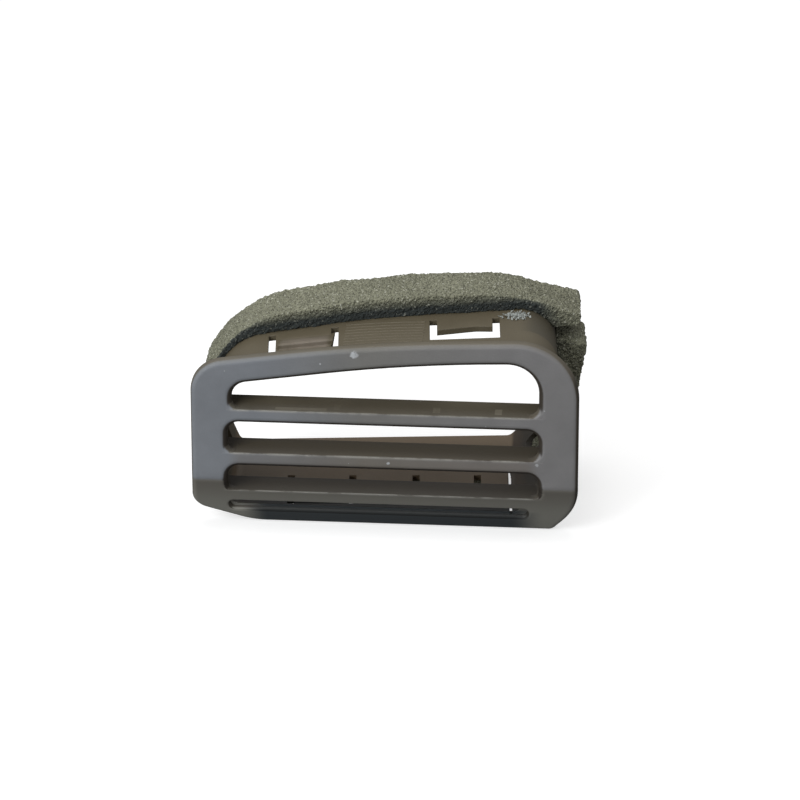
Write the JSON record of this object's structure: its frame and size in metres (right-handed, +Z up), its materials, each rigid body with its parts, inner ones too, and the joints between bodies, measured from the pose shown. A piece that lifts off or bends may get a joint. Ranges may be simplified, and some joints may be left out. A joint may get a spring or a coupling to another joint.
{
  "type": "console air vent",
  "caption": "Slatted face frame of a console air vent, moulded in one with its tapering duct skirt and snap tabs, with a foam seal wrapped round the skirt.",
  "frame": {"origin": "the middle of the panel aperture that the skirt passes through, in the plane of the flange's back", "axes": "+X to the right seen from the front, +Y square to the face plate and back into the console, +Z up"},
  "size_m": [0.1315, 0.0661, 0.0794],
  "materials": {
    "painted_plastic": "satin grey paint on the front, bare brown plastic elsewhere",
    "seal_foam": "open-cell foam, rough and matt"
  },
  "bodies": {
    "root": {"vent_grille": "painted_plastic", "foam_strip": "seal_foam", "foam_side_strip": "seal_foam"}
  },
  "joints": []
}
